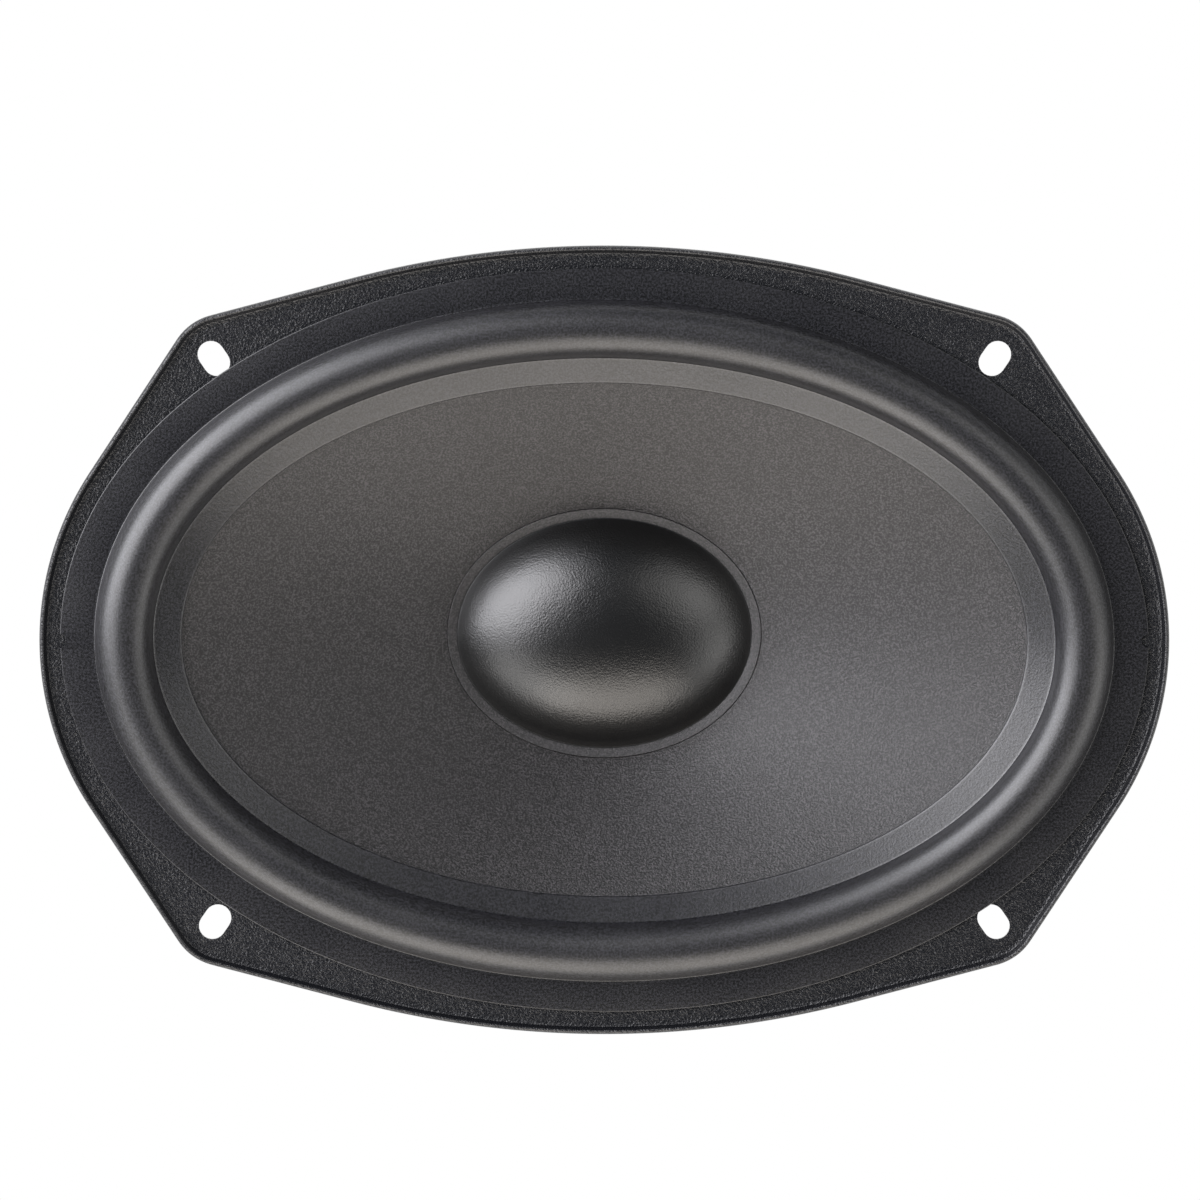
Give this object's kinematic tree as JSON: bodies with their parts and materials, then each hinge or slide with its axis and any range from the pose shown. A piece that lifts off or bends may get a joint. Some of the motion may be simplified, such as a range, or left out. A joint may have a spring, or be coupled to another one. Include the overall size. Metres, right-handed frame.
{
  "type": "oval car woofer",
  "caption": "Oval car woofer with a stamped four-ear basket, rubber half-roll surround, pulp cone, bulged dust cap, spider and vented ferrite motor.",
  "frame": {"origin": "centre of the flange's rear face, which seats on the baffle", "axes": "+X along the oval's long axis, +Y along its short axis away from the terminals, +Z out of the cone towards the listener"},
  "size_m": [0.237, 0.1658, 0.0839],
  "materials": {
    "basket_paint": "fine textured black powder coat",
    "zinc_steel": "zinc plated",
    "ferrite": "matt dark grey ferrite",
    "pulp": "black pressed pulp, fine speckle",
    "surround_rubber": "satin black moulded rubber",
    "cap_plastic": "glossy black moulding",
    "former_film": "amber film",
    "winding_copper": "enamelled copper wire",
    "collar_paper": "brown paper",
    "spider_cloth": "resin-stiffened woven cloth",
    "tinned_braid": "braided tinsel wire",
    "terminal_fibre": "black fibre board",
    "tab_brass": "tin-plated brass",
    "screen_cloth": "black mesh"
  },
  "bodies": {
    "frame": {"basket": "basket_paint", "basket_rivets": "zinc_steel", "top_plate": "zinc_steel", "magnet": "ferrite", "yoke": "zinc_steel", "pole_vent_screen": "screen_cloth", "terminal_board": "terminal_fibre", "terminal_positive": "tab_brass", "terminal_negative": "tab_brass", "board_rivets": "zinc_steel", "terminal_rivets": "tab_brass", "surround": "surround_rubber", "spider": "spider_cloth", "tinsel_lead_positive": "tinned_braid", "tinsel_lead_negative": "tinned_braid"},
    "cone_assembly": {"cone": "pulp", "dust_cap": "cap_plastic", "voice_coil_former": "former_film", "voice_coil_winding": "winding_copper", "former_collar": "collar_paper", "lead_eyelets": "tab_brass", "coil_lead_wires": "winding_copper"}
  },
  "joints": [
    {"name": "cone_travel", "type": "slide", "parent": "frame", "child": "cone_assembly", "axis": [0, 0, 1], "range_m": [-0.006, 0.006], "stiffness_N_per_m": 1500, "deforming": ["surround", "spider", "tinsel_lead_positive", "tinsel_lead_negative"]}
  ]
}
